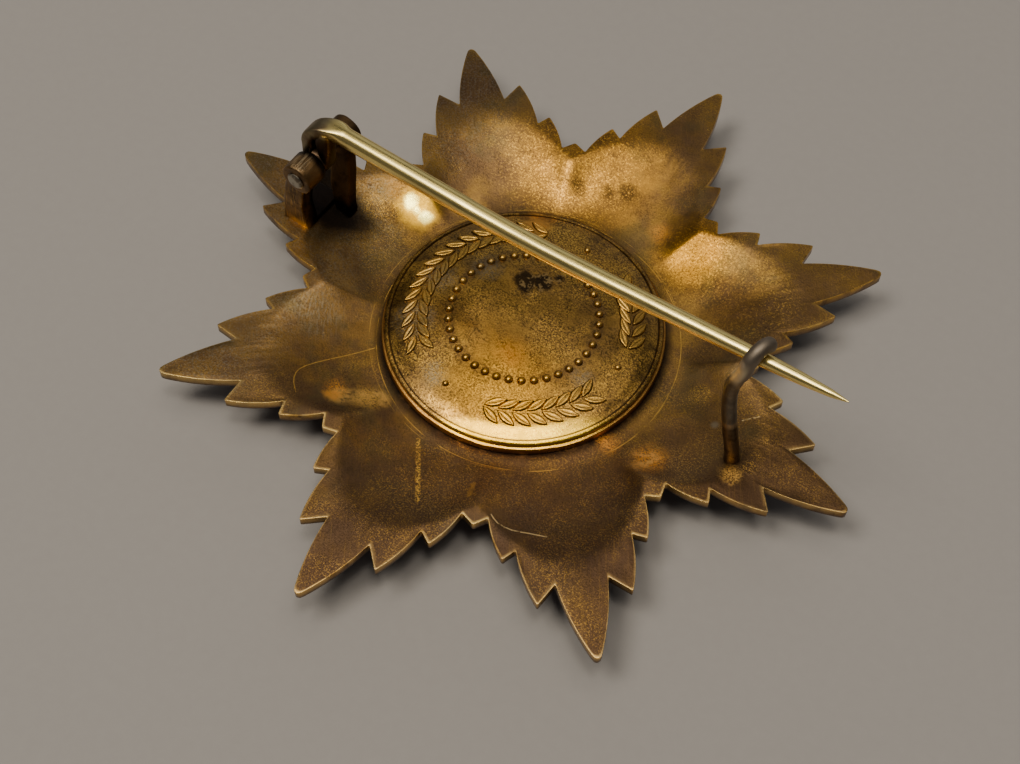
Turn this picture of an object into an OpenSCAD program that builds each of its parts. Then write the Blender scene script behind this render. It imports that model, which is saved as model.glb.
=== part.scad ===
// Order brooch: an eight-pointed breast star lying face down, its pin side up.
// Millimetres. +Z points up out of the pin side, +X runs along the pin from its
// hinge to its catch, and the origin is at floor level under the star's centre.

/* [Star] */
// Distance from the centre to the tip of each of the eight arms
star_radius = 37; // [34:0.5:40]
// Thickness of the star's metal
sheet = 1.05; // [0.8:0.05:1.3]
// Height of the star's outer edge plane, its back surface, above the floor
edge_height = 5.6; // [5:0.1:7]
// How far the middle of the back is dished below that plane
dish_depth = 2.35; // [1.5:0.05:3]
// Radius where the dish reaches its floor
dish_floor_r = 15.2; // [14.8:0.1:16]
// Radius where the dish begins between two arms
dish_valley_r = 20.9; // [19:0.1:21]
// Radius where the dish begins along an arm's middle line
dish_arm_r = 27; // [23:0.5:29]
// Height of the ridge along each ray of the hidden front
ray_ridge = 0.35; // [0:0.05:0.5]
// Radius of the plain boss on the hidden front
boss_r = 13.2; // [10:0.2:14]

/* [Back plate] */
// Place of the plate's middle along the pin; it is soldered a little off centre
plate_x = -0.45; // [-0.45:0.05:0]
// Radius of the plate's domed face
plate_r = 13.55; // [13.3:0.05:13.6]
// Height of the edge of that face above the plate's foot
face_edge_h = 1.6; // [1.3:0.05:2]
// Height of the dome's middle above its edge
dome_h = 1.45; // [0.5:0.05:1.8]
// Radius of the plate's base flange
flange_r = 14.45; // [14.3:0.05:14.6]
// Height of the base flange
flange_h = 0.82; // [0.6:0.02:1]
// Radius of the ring of beads
bead_ring_r = 7.6; // [6:0.1:8.5]
// Diameter of one bead
bead_d = 0.84; // [0.6:0.02:1]
// Number of beads in the ring
bead_count = 38; // [24:1:42]
// Radius of the band of leaves
leaf_ring_r = 10.9; // [10:0.1:11]
// Length of one leaf
leaf_l = 2.3; // [1.6:0.1:2.6]
// Width of one leaf
leaf_w = 0.9; // [0.6:0.05:1.2]
// Height of the leaves above the plate
leaf_relief = 0.18; // [0.1:0.02:0.3]

/* [Pin] */
// Diameter of the pin's level shaft
pin_d = 2.0; // [1.8:0.05:2.1]
// Diameter of the pin where its taper begins
pin_taper_d = 1.92; // [1.7:0.02:2]
// Diameter of the pin under the catch
pin_neck_d = 1.38; // [1.2:0.02:1.4]
// Distance of the pin's point from the star's centre
pin_tip_x = 33.7; // [33:0.1:35]
// Height of the level shaft's middle above the edge plane
shaft_h = 12.92; // [12.8:0.02:13]
// Slope of the pin past its gentle bend, in degrees
pin_lift = 6.5; // [6:0.1:7]
// Width of the pin's flattened root
root_w = 1.9; // [1.6:0.05:1.95]
// Thickness of the flattened root
root_t = 1.3; // [1.2:0.05:1.4]
// Radius of the root's bend, along its middle
root_bend_r = 1.4; // [1.2:0.05:1.6]
// Height of the rivet's middle above the edge plane
rivet_h = 8.9; // [8:0.1:9.5]
// Distance of the rivet from the star's centre
rivet_x = 25.05; // [24.5:0.05:26]
// Diameter of the rivet
rivet_d = 1.3; // [1:0.05:1.4]
// Radius of the pin's knuckle, rolled round the rivet
knuckle_r = 1.5; // [1.4:0.05:1.6]
// Free play of the knuckle on the rivet, all round
knuckle_play = 0.05; // [0.02:0.01:0.1]

/* [Catch] */
// Diameter of the catch's wire
wire_d = 1.5; // [1.3:0.05:1.5]

/* [Hidden] */
$fn = 48;
seat_gap = 0.04;

// The outline of one half of an arm, from its tip to the valley tooth: each row
// has the share of the star's radius, the angle from the arm's middle line, the
// outward bulge of the edge that follows, as a share of that edge's length, and
// the number of straight steps that the edge is drawn in. The first edge is the
// blunt end of the arm.
OUTLINE = [
    [1.000, 0.00, 0.120, 2],
    [0.986, 0.78, 0.036, 4],
    [0.790, 4.85, 0.000, 1],
    [0.845, 8.24, 0.050, 3],
    [0.696, 12.34, 0.000, 1],
    [0.724, 14.97, 0.050, 3],
    [0.613, 19.29, 0.000, 1],
    [0.639, 22.50, 0.000, 1]
];
edge_z = edge_height;
floor_z = edge_z - dish_depth;
front_z = floor_z - sheet;
rivet_z = edge_z + rivet_h;

function polar(r, a) = [r * cos(a), r * sin(a)];
function outline_point(i) = polar(OUTLINE[i][0] * star_radius, OUTLINE[i][1]);
// A point along edge i of the outline, bulged outwards like a shallow bow
function edge_point(i, t) =
    let (a = outline_point(i), b = outline_point(i + 1), d = b - a)
    a + d * t + [-d[1], d[0]] * (-4 * OUTLINE[i][2] * t * (1 - t));
half_arm = [
    for (i = [0:len(OUTLINE) - 2])
        for (s = [0:OUTLINE[i][3] - 1]) edge_point(i, s / OUTLINE[i][3])
];
// 1 at the tip of a ray and 0 at the notch between two, along that half arm
half_ridge = [
    for (i = [0:len(OUTLINE) - 2])
        for (s = [0:OUTLINE[i][3] - 1])
            i == 0 ? 1 : i % 2 == 1 ? 1 - s / OUTLINE[i][3] : s / OUTLINE[i][3]
];
last = len(half_arm) - 1;
// One whole arm, from the valley tooth on its right to its left neighbour's
arm = concat(
    [polar(OUTLINE[len(OUTLINE) - 1][0] * star_radius, -22.5)],
    [for (i = [last:-1:1]) [half_arm[i][0], -half_arm[i][1]]],
    half_arm
);
arm_ridge = concat([1], [for (i = [last:-1:1]) half_ridge[i]], half_ridge);
star_outline = [
    for (k = [0:7])
        for (p = arm) [
            p[0] * cos(45 * k) - p[1] * sin(45 * k),
            p[0] * sin(45 * k) + p[1] * cos(45 * k)
        ]
];
count = len(star_outline);

// Angle from the nearest arm's middle line
function arm_angle(p) = let (a = atan2(p[1], p[0]) + 382.5) a - 45 * floor(a / 45) - 22.5;
// Height of the dished back: wide troughs along the arms, ridges between them
function dish(p) =
    let (
        r = norm(p),
        start_r = dish_valley_r + (dish_arm_r - dish_valley_r) * cos(4 * arm_angle(p)),
        t = min(1, max(0, (start_r - r) / (start_r - dish_floor_r)))
    )
    edge_z - dish_depth * (0.6 * t * t * (3 - 2 * t) + 0.4 * t * (2 - t));

// Rings of the star's surfaces, from the inside out: each row has the radius of
// a circle, the share of the way from there to the outline, and the height of
// the ray ridges on the front, as a share of their full height.
RINGS = [
    [dish_floor_r - 0.4, 0.00, 0.0],
    [16.6, 0.00, 0.2],
    [18.0, 0.00, 0.6],
    [19.5, 0.00, 1.0],
    [dish_valley_r, 0.00, 1.0],
    [dish_valley_r, 0.18, 1.0],
    [dish_valley_r, 0.36, 1.0],
    [dish_valley_r, 0.64, 0.8],
    [dish_valley_r, 1.00, 0.0]
];
ring_count = len(RINGS);
function ring_point(row, j) =
    let (p = star_outline[j], circle_r = RINGS[row][0], share = RINGS[row][1])
    p * (circle_r / norm(p) * (1 - share) + share);
function ridge(row, j) = ray_ridge * RINGS[row][2] * arm_ridge[j % len(arm_ridge)];

// The dished sheet with its ray points
module star_sheet() {
    back = [
        for (row = [0:ring_count - 1])
            for (j = [0:count - 1])
                let (p = ring_point(row, j)) [p[0], p[1], dish(p)]
    ];
    front = [
        for (row = [0:ring_count - 1])
            for (j = [0:count - 1])
                let (p = ring_point(row, j)) [p[0], p[1], dish(p) - sheet - ridge(row, j)]
    ];
    half = ring_count * count;
    bands = [
        for (row = [0:ring_count - 2])
            for (j = [0:count - 1])
                let (
                    k = (j + 1) % count,
                    a = row * count + j,
                    b = row * count + k,
                    c = a + count,
                    d = b + count
                )
                each [
                    [a, b, d],
                    [a, d, c],
                    [half + a, half + d, half + b],
                    [half + a, half + c, half + d]
                ]
    ];
    rim = [
        for (j = [0:count - 1])
            let (
                k = (j + 1) % count,
                a = (ring_count - 1) * count + j,
                b = (ring_count - 1) * count + k
            )
            each [[a, b, half + b], [a, half + b, half + a]]
    ];
    middle = [
        for (j = [0:count - 1])
            let (k = (j + 1) % count)
            each [[2 * half, k, j], [2 * half + 1, half + j, half + k]]
    ];
    points = concat(back, front, [[0, 0, floor_z], [0, 0, front_z]]);
    polyhedron(points, concat(bands, rim, middle), convexity = 10);
}

// Plain round boss on the hidden front, flat where it rests
module front_boss() {
    chamfer = 0.5;
    rotate_extrude($fn = 96)
        polygon([
            [0, 0],
            [boss_r - chamfer, 0],
            [boss_r, chamfer],
            [boss_r, front_z + sheet / 3],
            [0, front_z + sheet / 3]
        ]);
}

// Hinge ears: each row has the ear's inner and outer face, the outer face of
// its slimmer shank, and the middle of the shank along the pin.
EARS = [
    [-2.2, -4.8, -4.1, -25.6],
    [1.3, 3.7, 2.8, -24.8]
];
ear_head_r = 1.75;
ear_waist = 2.5;
ear_foot = 3.6;
ear_foot_h = 1.6;
foot_depth = 0.8;
foot_plate_h = 0.35;
rivet_bore_r = rivet_d / 2 + 0.01;

// Turns a drawing in X and Z into a plate between two depths along Y
module plate_between(y_low, y_high) {
    translate([0, y_high, 0])
        rotate([90, 0, 0])
            linear_extrude(y_high - y_low) children();
}
module hinge_ears() {
    difference() {
        union() {
            for (ear = EARS) {
                plate_between(min(ear[0], ear[1]), max(ear[0], ear[1]))
                    translate([-rivet_x, rivet_z]) circle(ear_head_r);
                plate_between(min(ear[0], ear[2]), max(ear[0], ear[2]))
                    polygon([
                        [ear[3] - ear_foot / 2, edge_z - foot_depth],
                        [ear[3] + ear_foot / 2, edge_z - foot_depth],
                        [ear[3] + ear_waist / 2, edge_z + ear_foot_h],
                        [-rivet_x + ear_head_r - 0.5, rivet_z],
                        [-rivet_x - ear_head_r + 0.5, rivet_z],
                        [ear[3] - ear_waist / 2, edge_z + ear_foot_h]
                    ]);
            }
            translate([EARS[0][3] - ear_foot / 2 + 0.4, EARS[0][2], edge_z - foot_depth])
                cube([ear_foot, EARS[1][2] - EARS[0][2], foot_depth + foot_plate_h]);
        }
        translate([-rivet_x, 0, rivet_z])
            rotate([90, 0, 0]) cylinder(h = 12, r = rivet_bore_r, center = true);
    }
}

// The catch: a wire that rises from the star and curls over the pin. Its route
// runs from inside the sheet to the free end, with heights above the edge plane.
CATCH_ROUTE = [
    [25.0, -1.3, -0.7],
    [24.7, -1.3, 1.5],
    [24.0, -1.3, 5.0],
    [23.5, -1.35, 8.5],
    [23.4, -1.4, 11.3],
    [23.8, -1.5, 13.3],
    [24.3, -1.6, 15.0],
    [24.5, -1.42, 16.5],
    [24.7, -0.8, 17.3],
    [24.9, 0, 17.55],
    [25.1, 0.7, 17.28],
    [25.22, 1.25, 16.9]
];
wire_sides = 12;
wire_steps = 3;
// Shares of the wire's radius at its rounded end, from the last ring back
WIRE_END = [0.45, 0.8, 0.95];
// A point on the smooth curve through the route's points a share t past point i
function route_point(path, i, t) =
    let (
        n = len(path) - 1,
        a = path[max(0, i - 1)],
        b = path[i],
        c = path[min(n, i + 1)],
        d = path[min(n, i + 2)]
    )
    0.5 * (2 * b + (c - a) * t + (2 * a - 5 * b + 4 * c - d) * t * t
        + (3 * b - a - 3 * c + d) * t * t * t);
function smooth_route(path, steps) = concat(
    [for (i = [0:len(path) - 2]) for (s = [0:steps - 1]) route_point(path, i, s / steps)],
    [path[len(path) - 1]]
);
function unit(v) = v / norm(v);
module catch_hook() {
    line = smooth_route([for (p = CATCH_ROUTE) p + [0, 0, edge_z]], wire_steps);
    n = len(line);
    points = [
        for (i = [0:n - 1])
            let (
                along = unit(line[min(n - 1, i + 1)] - line[max(0, i - 1)]),
                side = unit(cross(along, [1, 0, 0])),
                up = cross(side, along),
                back = n - 1 - i,
                r = wire_d / 2 * (back < len(WIRE_END) ? WIRE_END[back] : 1)
            )
            for (k = [0:wire_sides - 1])
                line[i] + r * (cos(360 * k / wire_sides) * side
                    + sin(360 * k / wire_sides) * up)
    ];
    walls = [
        for (i = [0:n - 2])
            for (k = [0:wire_sides - 1])
                let (
                    m = (k + 1) % wire_sides,
                    a = i * wire_sides + k,
                    b = i * wire_sides + m
                )
                each [[a, b, b + wire_sides], [a, b + wire_sides, a + wire_sides]]
    ];
    ends = [
        [for (k = [wire_sides - 1:-1:0]) k],
        [for (k = [0:wire_sides - 1]) (n - 1) * wire_sides + k]
    ];
    polyhedron(points, concat(walls, ends), convexity = 4);
}

module star_body() {
    color("darkgoldenrod") {
        star_sheet();
        front_boss();
        hinge_ears();
        catch_hook();
    }
}

// Height of the plate's domed face at a distance from its middle
foot_z = floor_z + seat_gap;
function face_height(r) = foot_z + face_edge_h + dome_h * (1 - pow(r / plate_r, 2));
// The plate's outline: its foot and base flange, a rounded band, a fine groove
// and the dome, each row with its radius and height
PLATE_RIM = [
    [0, 0],
    [flange_r - 0.15, 0],
    [flange_r, 0.15],
    [flange_r, flange_h - 0.1],
    [flange_r - 0.07, flange_h],
    [plate_r + 0.6, flange_h + 0.02],
    [plate_r + 0.57, flange_h + 0.1],
    [plate_r + 0.67, flange_h + 0.23],
    [plate_r + 0.65, flange_h + 0.43],
    [plate_r + 0.55, flange_h + 0.63],
    [plate_r + 0.4, flange_h + 0.73],
    [plate_r + 0.27, flange_h + 0.7],
    [plate_r + 0.15, face_edge_h - 0.2],
    [plate_r + 0.07, face_edge_h - 0.18]
];
dome_steps = 12;
PLATE_PROFILE = concat(
    [for (p = PLATE_RIM) p + [0, foot_z]],
    [
        for (i = [0:dome_steps])
            let (r = plate_r * (1 - i / dome_steps)) [r, face_height(r)]
    ]
);
// Runs of leaves along the plate's band: the middle of each run and its half
// width in degrees, with a small dot between neighbours
LEAF_RUNS = [[-43, 33], [42, 25], [173, 61]];
LEAF_DOTS = [4, 88, 260];
leaf_step = 7.6;
leaf_slant = 32;
// Distance of each leaf's stalk from the middle of the band
stalk_side = 0.12;
// Slope of the dome under the leaves, and how deep they reach into it
leaf_tilt = atan(2 * dome_h * leaf_ring_r / pow(plate_r, 2));
leaf_sunk = 0.25;
// Depth of a bead's middle under the face
bead_sunk = 0.05;
dot_d = 0.7;

// One pointed leaf, lying along +X from its stalk
module leaf() {
    bow_r = (leaf_l * leaf_l + leaf_w * leaf_w) / (4 * leaf_w);
    translate([leaf_l / 2, 0, -leaf_sunk])
        linear_extrude(leaf_relief + leaf_sunk)
            intersection() {
                translate([0, bow_r - leaf_w / 2]) circle(bow_r, $fn = 64);
                translate([0, leaf_w / 2 - bow_r]) circle(bow_r, $fn = 64);
            }
}
module leaf_pair(angle) {
    rotate(angle)
        translate([leaf_ring_r, 0, face_height(leaf_ring_r)])
            rotate([0, leaf_tilt, 0])
                rotate(90)
                    for (side = [-1, 1])
                        translate([0, side * stalk_side, 0]) rotate(side * leaf_slant) leaf();
}
// A round bead on the face, at an angle and a distance from the middle
module bead(angle, r, d) {
    rotate(angle) translate([r, 0, face_height(r) - bead_sunk]) sphere(d / 2, $fn = 24);
}
module back_plate() {
    color("goldenrod")
        translate([plate_x, 0, 0]) {
            rotate_extrude($fn = 96) polygon(PLATE_PROFILE);
            for (i = [0:bead_count - 1]) bead(360 * i / bead_count, bead_ring_r, bead_d);
            for (run = LEAF_RUNS)
                for (a = [run[0] - run[1]:leaf_step:run[0] + run[1] - leaf_step]) leaf_pair(a);
            for (a = LEAF_DOTS) bead(a, leaf_ring_r, dot_d);
        }
}

module hinge_rivet() {
    head_r = 1.0;
    head_top_r = 0.9;
    head_h = 0.25;
    low = -EARS[1][1] - seat_gap;
    high = -EARS[0][1] + seat_gap;
    color("dimgray")
        translate([-rivet_x, 0, rivet_z])
            rotate([90, 0, 0]) {
                translate([0, 0, low]) cylinder(h = high - low, r = rivet_d / 2);
                translate([0, 0, high]) cylinder(h = head_h, r1 = head_r, r2 = head_top_r);
                translate([0, 0, low - head_h]) cylinder(h = head_h, r1 = head_top_r, r2 = head_r);
            }
}

// The pin's level shaft ends in a gentle bend and a straight taper that rises
// to its point. These are places along X.
root_mid_y = -1.05;
root_drop = 0.12;
neck_start_x = -23.2;
shaft_start_x = -22.8;
root_end_x = -22;
root_end_half = 0.6;
neck_r = 0.75;
shaft_end_x = -8;
lift_start_x = -7;
lift_end_x = 6;
pin_z = edge_z + shaft_h;
lift_r = (lift_end_x - lift_start_x) / sin(pin_lift);
lift_rise = lift_r * (1 - cos(pin_lift));
// The taper's outline: each row has the place and the radius there. Its first
// stretch is sunk in the end of the bend.
taper_sunk = 0.02;
PIN_TAPER = [
    [lift_end_x - 0.5, pin_taper_d / 2 - taper_sunk],
    [lift_end_x, pin_taper_d / 2 - taper_sunk],
    [26, pin_neck_d / 2],
    [29, 0.58],
    [32, 0.37],
    [pin_tip_x, 0.06]
];
module round_along_x(x, length, r1, r2) {
    translate([x, 0, pin_z]) rotate([0, 90, 0]) cylinder(h = length, r1 = r1, r2 = r2);
}
module pin_shaft() {
    round_along_x(neck_start_x, shaft_start_x - neck_start_x, neck_r, pin_d / 2);
    round_along_x(shaft_start_x, shaft_end_x - shaft_start_x, pin_d / 2, pin_d / 2);
    round_along_x(shaft_end_x, lift_start_x - shaft_end_x, pin_d / 2, pin_taper_d / 2);
    translate([lift_start_x, 0, pin_z + lift_r])
        rotate([90, 0, 0])
            rotate(-90)
                rotate_extrude(angle = pin_lift) translate([lift_r, 0]) circle(pin_taper_d / 2);
}
module pin_taper() {
    outline = [for (row = PIN_TAPER) [row[1], (row[0] - lift_end_x) / cos(pin_lift)]];
    translate([lift_end_x, 0, pin_z + lift_rise])
        rotate([0, 90 - pin_lift, 0])
            rotate_extrude()
                polygon(concat([[0, outline[0][1]]], outline, [[0, outline[len(outline) - 1][1]]]));
}

// The root is beaten flat, steps aside towards one ear, bends down and is
// rolled round the rivet
module pin_root() {
    near_y = root_mid_y - root_w / 2;
    far_y = root_mid_y + root_w / 2;
    leg_x = -rivet_x - knuckle_r;
    bend_x = leg_x + root_bend_r + root_t / 2;
    flat_z = pin_z - root_drop;
    bend_z = flat_z - root_bend_r;
    intersection() {
        plate_between(-pin_d - 1, pin_d + 1) {
            translate([-rivet_x, rivet_z]) circle(knuckle_r);
            translate([leg_x, rivet_z]) square([root_t, bend_z - rivet_z]);
            translate([bend_x, bend_z])
                intersection() {
                    difference() {
                        circle(root_bend_r + root_t / 2);
                        circle(root_bend_r - root_t / 2);
                    }
                    translate([-2 * root_bend_r - root_t, 0]) square(2 * root_bend_r + root_t);
                }
            translate([bend_x, flat_z - root_t / 2]) square([root_end_x - bend_x, root_t]);
        }
        translate([0, 0, rivet_z - 2 * knuckle_r])
            linear_extrude(pin_z - rivet_z + 3 * knuckle_r)
                polygon([
                    [leg_x - 1, near_y],
                    [bend_x, near_y],
                    [root_end_x, -root_end_half],
                    [root_end_x, root_end_half],
                    [bend_x, far_y],
                    [leg_x - 1, far_y]
                ]);
    }
}
module pin_needle() {
    color("silver")
        difference() {
            union() {
                pin_shaft();
                pin_taper();
                pin_root();
            }
            translate([-rivet_x, 0, rivet_z])
                rotate([90, 0, 0])
                    cylinder(h = 8, r = rivet_d / 2 + knuckle_play, center = true);
        }
}

star_body();
back_plate();
hinge_rivet();
pin_needle();
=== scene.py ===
from collections import namedtuple
from functools import reduce
from math import atan, atan2, copysign, cos, hypot, pi, radians, sin, sqrt, tan, tau

import bmesh
import bpy
from mathutils import Matrix, Quaternion, Vector, noise


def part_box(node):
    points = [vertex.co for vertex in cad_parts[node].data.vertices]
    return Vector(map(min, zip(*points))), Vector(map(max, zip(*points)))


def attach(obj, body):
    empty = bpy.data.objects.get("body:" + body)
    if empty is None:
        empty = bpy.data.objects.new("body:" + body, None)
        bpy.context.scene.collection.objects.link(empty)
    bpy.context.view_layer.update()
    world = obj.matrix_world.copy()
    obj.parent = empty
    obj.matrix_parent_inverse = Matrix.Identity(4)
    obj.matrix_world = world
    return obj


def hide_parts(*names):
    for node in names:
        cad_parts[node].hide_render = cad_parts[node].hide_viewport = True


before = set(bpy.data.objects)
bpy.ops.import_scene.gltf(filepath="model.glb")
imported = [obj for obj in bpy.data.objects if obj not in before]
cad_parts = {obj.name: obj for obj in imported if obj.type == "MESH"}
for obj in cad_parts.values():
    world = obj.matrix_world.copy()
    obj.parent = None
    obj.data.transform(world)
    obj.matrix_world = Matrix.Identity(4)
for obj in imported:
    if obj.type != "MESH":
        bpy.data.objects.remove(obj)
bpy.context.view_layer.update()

# Every piece is drawn in millimetres and brought to metres when it is finished.
MM = 0.001
UP = Vector((0, 0, 1))
ALONG = Vector((1, 0, 0))
ACROSS = Vector((0, 1, 0))

# Driving sizes, in millimetres
STAR_R = (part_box("star_body")[1].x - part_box("star_body")[0].x) / 2 / MM
SHEET = 1.05
EDGE_Z = 5.6
DISH_DEPTH = 2.35
DISH_FLOOR_R = 15.2
DISH_VALLEY_R = 20.9
DISH_ARM_R = 27.0
BOSS_R = 13.2
FLOOR_Z = EDGE_Z - DISH_DEPTH
RIVET_AT = Vector((-25.05, 0, EDGE_Z + 8.9))
PIN_Z = EDGE_Z + 12.92


# Shared shapes


def polar(radius, degrees, z=0.0):
    a = radians(degrees)
    return Vector((radius * cos(a), radius * sin(a), z))


def smooth_step(t):
    t = min(1.0, max(0.0, t))
    return t * t * (3 - 2 * t)


def new_parts(made, kind):
    return [part for part in made["geom"] if isinstance(part, kind)]


def face_outwards(bm, faces=None):
    bmesh.ops.recalc_face_normals(bm, faces=faces or bm.faces[:])


def round_off(bm, parts, offset, affect="EDGES"):
    bmesh.ops.bevel(
        bm, geom=parts, offset=offset, offset_type="OFFSET", segments=3, profile=0.5,
        affect=affect, clamp_overlap=True, material=-1,
    )


def extrude_line(bm, edges):
    """Extrudes a closed line and gives the new line's vertices and edges."""
    made = bmesh.ops.extrude_edge_only(bm, edges=edges)
    verts = new_parts(made, bmesh.types.BMVert)
    fresh = set(verts)
    return verts, [
        e for e in new_parts(made, bmesh.types.BMEdge) if fresh.issuperset(e.verts)
    ]


def spin_round(bm, profile, steps, axis=UP, middle=(0, 0, 0)):
    """Joins the places of a profile and spins the line once round an axis."""
    verts = [bm.verts.new(place) for place in profile]
    edges = [bm.edges.new(pair) for pair in zip(verts, verts[1:])]
    bmesh.ops.spin(
        bm, geom=verts + edges, cent=middle, axis=axis, angle=tau, steps=steps,
        use_merge=True,
    )


def turned(bm, profile, steps, axis=UP, middle=(0, 0, 0)):
    """A closed piece that is all turned work."""
    spin_round(bm, profile, steps, axis, middle)
    bmesh.ops.remove_doubles(bm, verts=bm.verts[:], dist=0.002)
    face_outwards(bm)


def sweep(bm, stations, sides=24):
    """Draws a closed tube through stations: each has the matrix of a section and
    the powers that shape it in its own X and Y, 1 and 1 for an ellipse."""
    turn = bm.verts.layers.float.get("turn") or bm.verts.layers.float.new("turn")
    made = bmesh.ops.create_circle(bm, cap_ends=False, radius=1, segments=sides)
    verts = made["verts"]
    for v in verts:
        v[turn] = atan2(v.co.y, v.co.x)
    edges = [e for v in verts for e in v.link_edges if e.verts[0] == v]
    bmesh.ops.contextual_create(bm, geom=edges)
    for i, (matrix, power_x, power_y) in enumerate(stations):
        if i:
            verts, edges = extrude_line(bm, edges)
        for v in verts:
            c, s = cos(v[turn]), sin(v[turn])
            x = copysign(abs(c) ** power_x, c)
            y = copysign(abs(s) ** power_y, s)
            v.co = matrix @ Vector((x, y, 0))
    bmesh.ops.contextual_create(bm, geom=edges)


def station(place, along, across, half_across, half_up, square=2.0):
    """A section at place: across is the direction of its first half width, and
    square is 2 for an ellipse and more for a squarer section."""
    along = along.normalized()
    side = (across - along * across.dot(along)).normalized()
    up = along.cross(side)
    basis = Matrix((side * half_across, up * half_up, along)).transposed().to_4x4()
    return Matrix.Translation(place) @ basis, 2 / square, 2 / square


def smooth_route(points, steps):
    """A smooth curve through the points."""
    line = []
    for i in range(len(points) - 1):
        a = Vector(points[max(0, i - 1)])
        b = Vector(points[i])
        c = Vector(points[i + 1])
        d = Vector(points[min(len(points) - 1, i + 2)])
        for s in range(steps):
            t = s / steps
            line.append(0.5 * (
                2 * b + (c - a) * t + (2 * a - 5 * b + 4 * c - d) * t * t
                + (3 * b - a - 3 * c + d) * t ** 3
            ))
    line.append(Vector(points[-1]))
    return line


def add_object(name, data):
    made = bpy.data.objects.new(name, data)
    bpy.context.scene.collection.objects.link(made)
    return made


def add_mesh(name, bm, material):
    mesh = bpy.data.meshes.new(name)
    bm.to_mesh(mesh)
    bm.free()
    mesh.materials.append(material)
    return add_object(name, mesh)


def finish_piece(name, bm, material, stands_for, body="star", crease=50):
    """Brings a drawn piece to metres, shades it and fastens it to its body."""
    bmesh.ops.scale(bm, vec=(MM, MM, MM), verts=bm.verts)
    piece = add_mesh(name, bm, material)
    piece.data.polygons.foreach_set("use_smooth", [True] * len(piece.data.polygons))
    piece.data.set_sharp_from_angle(angle=radians(crease))
    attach(piece, body)
    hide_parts(stands_for)


# Star

# One half of an arm's outline, from its blunt end to the tooth in the valley: share
# of the star's radius, angle from the arm's middle line, and the bulge of the edge
# that follows, as a share of its length
ARM_OUTLINE = [
    (1.000, 0.00, 0.120),
    (0.986, 0.78, 0.036),
    (0.790, 4.85, 0.000),
    (0.845, 8.24, 0.050),
    (0.696, 12.34, 0.000),
    (0.724, 14.97, 0.050),
    (0.613, 19.29, 0.000),
    (0.639, 22.50, 0.000),
]
OUTLINE_STEP = 0.42
CORNER_ANGLE = 28
CORNER_ROUND = 0.2
RIM_ROUND = 0.17
# Rings of the sheet from its edge inwards: shares of the way out from the valleys,
# then an even step
ARM_RINGS = (0.975, 0.93, 0.87, 0.79, 0.70, 0.60, 0.50, 0.40, 0.30, 0.20, 0.10, 0.0)
RING_STEP = 0.55
FOLD_SOFT = 0.09
RAY_COUNT = 48
RAY_RIDGE = 0.35
BOSS_CHAMFER = 0.5
# The hammered waves of the sheet: height and how many to a millimetre
WAVES = [(0.06, 0.2), (0.03, 0.6)]


def dish_height(x, y):
    """Height of the star's back: wide troughs along the arms, ridges between."""
    r = hypot(x, y)
    arm_angle = atan2(y, x)
    fold = hypot(cos(4 * arm_angle), FOLD_SOFT)
    start = DISH_VALLEY_R + (DISH_ARM_R - DISH_VALLEY_R) * fold
    t = min(1.0, max(0.0, (start - r) / (start - DISH_FLOOR_R)))
    return EDGE_Z - DISH_DEPTH * (0.6 * smooth_step(t) + 0.4 * t * (2 - t))


def draw_half_arm(bm):
    corners = [polar(share * STAR_R, angle) for share, angle, bulge in ARM_OUTLINE]
    line = []
    for (share, angle, bulge), a, b in zip(ARM_OUTLINE, corners, corners[1:]):
        along = b - a
        outwards = Vector((along.y, -along.x, 0))
        count = max(2, round(along.length / OUTLINE_STEP))
        for i in range(count):
            t = i / count
            line.append(a + along * t + outwards * (4 * bulge * t * (1 - t)))
    line.append(corners[-1])
    verts = [bm.verts.new(place) for place in line]
    for a, b in zip(verts, verts[1:]):
        bm.edges.new((a, b))


def round_corners(bm):
    """Rounds the tips and notches of a flat outline a little."""
    bmesh.ops.contextual_create(bm, geom=bm.edges[:])
    corners = []
    for v in bm.verts:
        a, b = (e.other_vert(v).co - v.co for e in v.link_edges)
        if pi - a.angle(b) > radians(CORNER_ANGLE):
            corners.append(v)
    round_off(bm, corners, CORNER_ROUND, "VERTICES")
    bmesh.ops.delete(bm, geom=bm.faces[:], context="FACES_ONLY")


def add_ring(bm, edges, reach, radius, share):
    """Draws the outline's edges inwards, share of the way out from a circle."""
    verts, edges = extrude_line(bm, edges)
    for v in verts:
        flat = Vector((v.co.x, v.co.y, 0))
        v.co = flat.normalized() * (radius * (1 - share) + v[reach] * share)
    return edges


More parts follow.
